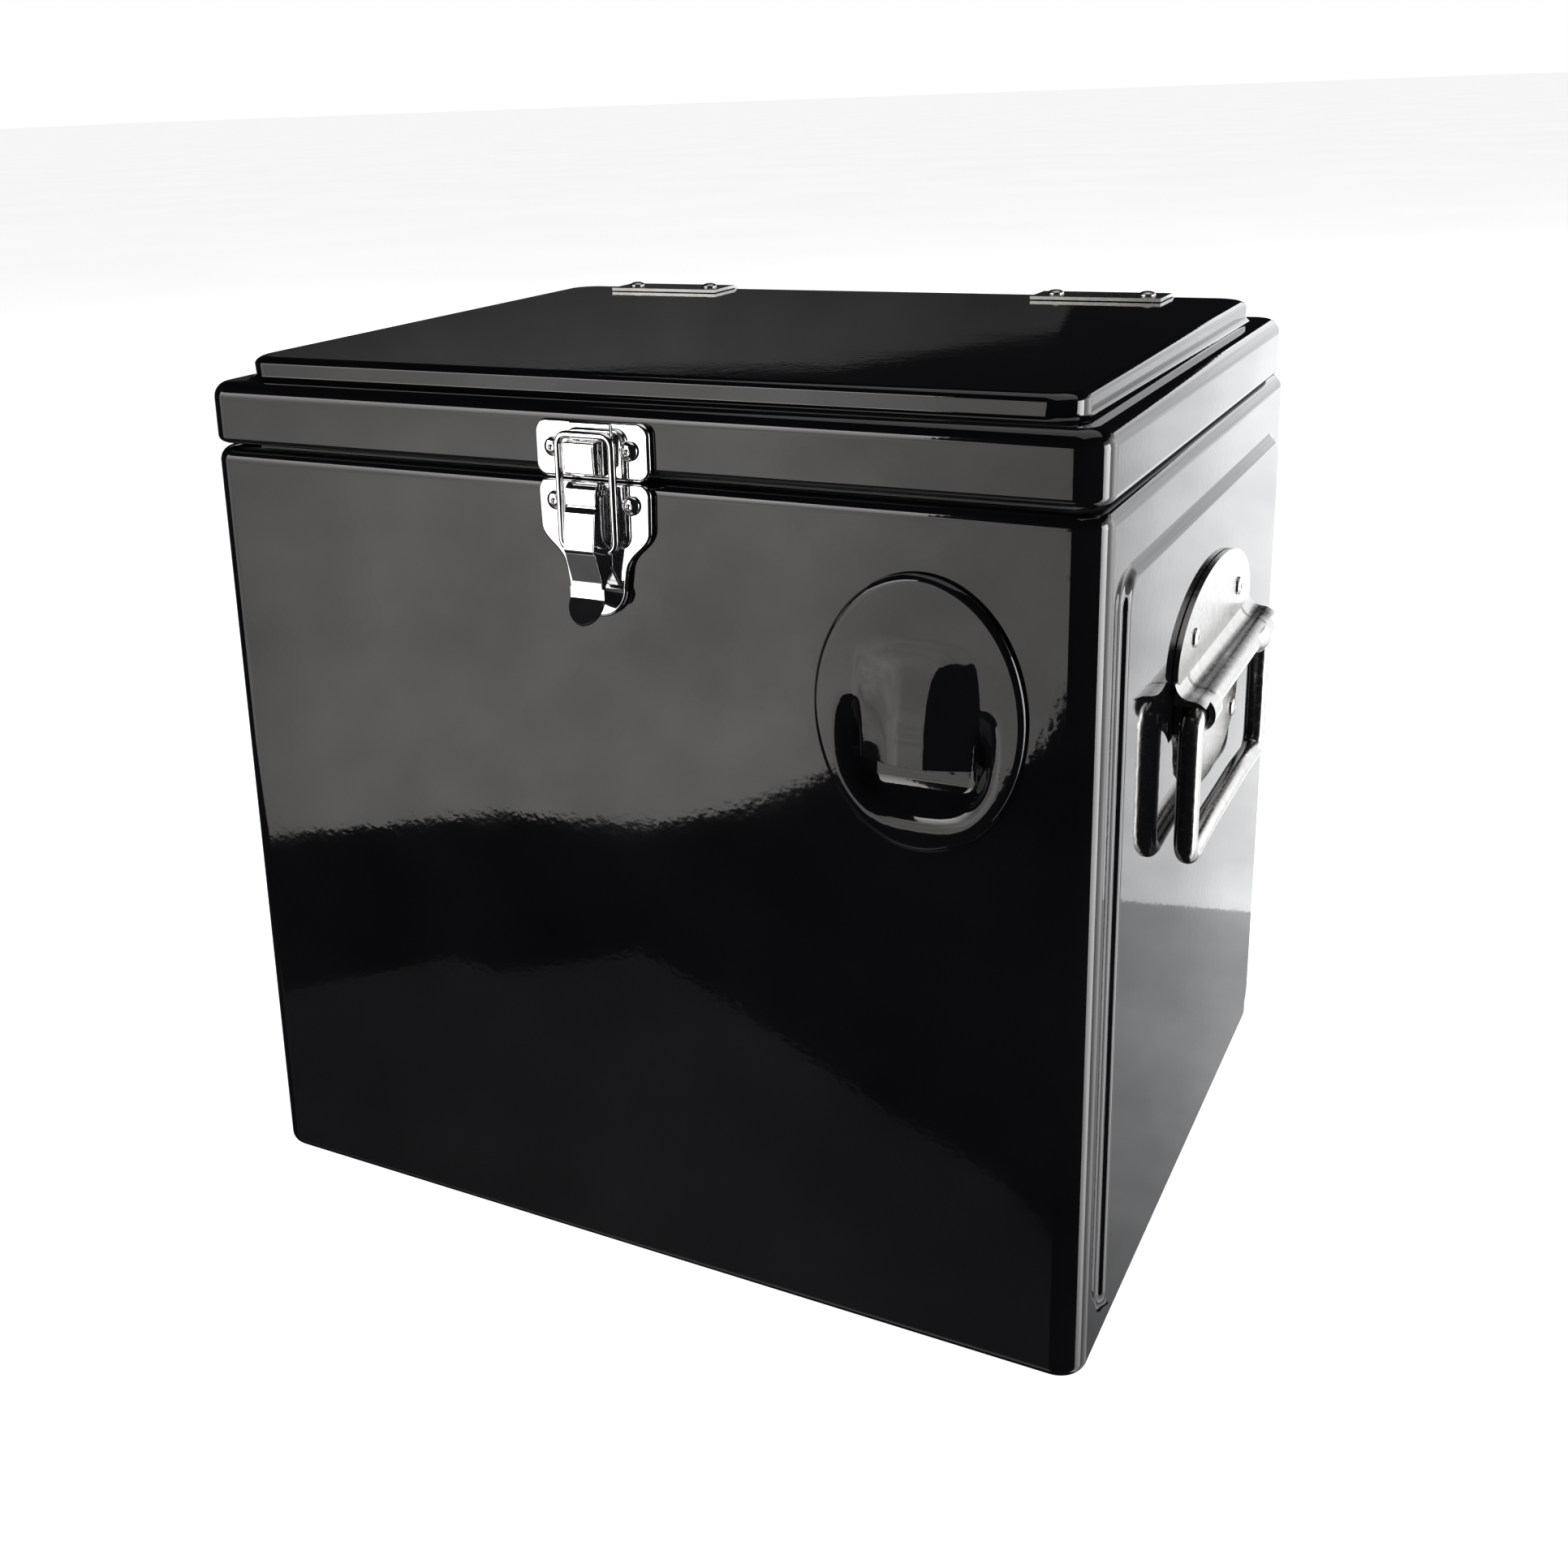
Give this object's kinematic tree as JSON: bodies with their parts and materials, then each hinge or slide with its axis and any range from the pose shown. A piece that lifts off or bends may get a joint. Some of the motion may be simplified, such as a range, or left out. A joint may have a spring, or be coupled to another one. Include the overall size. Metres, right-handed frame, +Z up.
{
  "type": "insulated metal cooler chest",
  "caption": "Upright insulated steel chest with a hinged lid, over-centre latch, pressed bottle opener and folding side handles.",
  "frame": {"origin": "middle of the underside of the base pan, where the chest stands on the floor", "axes": "+Z up, -Y is the front with the latch and opener, +X to the right seen from the front"},
  "size_m": [0.4, 0.3189, 0.3593],
  "materials": {
    "black_paint": "gloss",
    "zinc_steel": "satin",
    "white_liner": "satin",
    "insulating_foam": "matte",
    "gasket_rubber": "matte",
    "latch_chrome": "polished",
    "nickel_steel": "satin"
  },
  "bodies": {
    "box": {"outer_shell": "black_paint", "bottom_pan": "zinc_steel", "body_foam": "insulating_foam", "inner_liner": "white_liner", "opener_plate": "black_paint", "latch_base": "latch_chrome", "latch_pin": "latch_chrome", "latch_base_rivet_left": "latch_chrome", "latch_base_rivet_right": "latch_chrome", "left_hinge_box_leaf": "nickel_steel", "left_hinge_pin": "nickel_steel", "left_hinge_box_rivet_1": "nickel_steel", "left_hinge_box_rivet_2": "nickel_steel", "left_handle_plate": "nickel_steel", "left_handle_rivet_1": "nickel_steel", "left_handle_rivet_2": "nickel_steel", "left_handle_rivet_3": "nickel_steel", "left_handle_rivet_4": "nickel_steel", "right_hinge_box_leaf": "nickel_steel", "right_hinge_pin": "nickel_steel", "right_hinge_box_rivet_1": "nickel_steel", "right_hinge_box_rivet_2": "nickel_steel", "right_handle_plate": "nickel_steel", "right_handle_rivet_1": "nickel_steel", "right_handle_rivet_2": "nickel_steel", "right_handle_rivet_3": "nickel_steel", "right_handle_rivet_4": "nickel_steel"},
    "lid": {"lid_shell": "black_paint", "lid_foam": "insulating_foam", "lid_liner": "white_liner", "lid_gasket": "gasket_rubber", "strike_plate": "latch_chrome", "strike_rivet_left": "latch_chrome", "strike_rivet_right": "latch_chrome", "left_hinge_lid_leaf": "nickel_steel", "left_hinge_lid_rivet_1": "nickel_steel", "left_hinge_lid_rivet_2": "nickel_steel", "right_hinge_lid_leaf": "nickel_steel", "right_hinge_lid_rivet_1": "nickel_steel", "right_hinge_lid_rivet_2": "nickel_steel"},
    "latch_lever": {"latch_lever": "latch_chrome"},
    "latch_bail": {"latch_bail": "latch_chrome"},
    "left_handle": {"left_handle_bail": "nickel_steel"},
    "right_handle": {"right_handle_bail": "nickel_steel"}
  },
  "joints": [
    {"name": "lid_hinge", "type": "hinge", "parent": "box", "child": "lid", "pos_m": [0, 0.1478, 0.328], "axis": [-1, 0, 0], "range_deg": [0, 100]},
    {"name": "latch_lever", "type": "hinge", "parent": "box", "child": "latch_lever", "pos_m": [0, -0.1577, 0.3165], "axis": [-1, 0, 0], "range_deg": [0, 100]},
    {"name": "latch_bail", "type": "hinge", "parent": "latch_lever", "child": "latch_bail", "pos_m": [0, -0.1574, 0.2955], "axis": [-1, 0, 0], "range_deg": [-140, 0]},
    {"name": "right_handle", "type": "hinge", "parent": "box", "child": "right_handle", "pos_m": [0.1928, 0, 0.227], "axis": [0, -1, 0], "range_deg": [0, 95]},
    {"name": "left_handle", "type": "hinge", "parent": "box", "child": "left_handle", "pos_m": [-0.1928, 0, 0.227], "axis": [0, 1, 0], "range_deg": [0, 95]}
  ],
  "couplings": [
    {"joint": "latch_bail", "follows": "latch_lever", "ratio": -1.4}
  ]
}
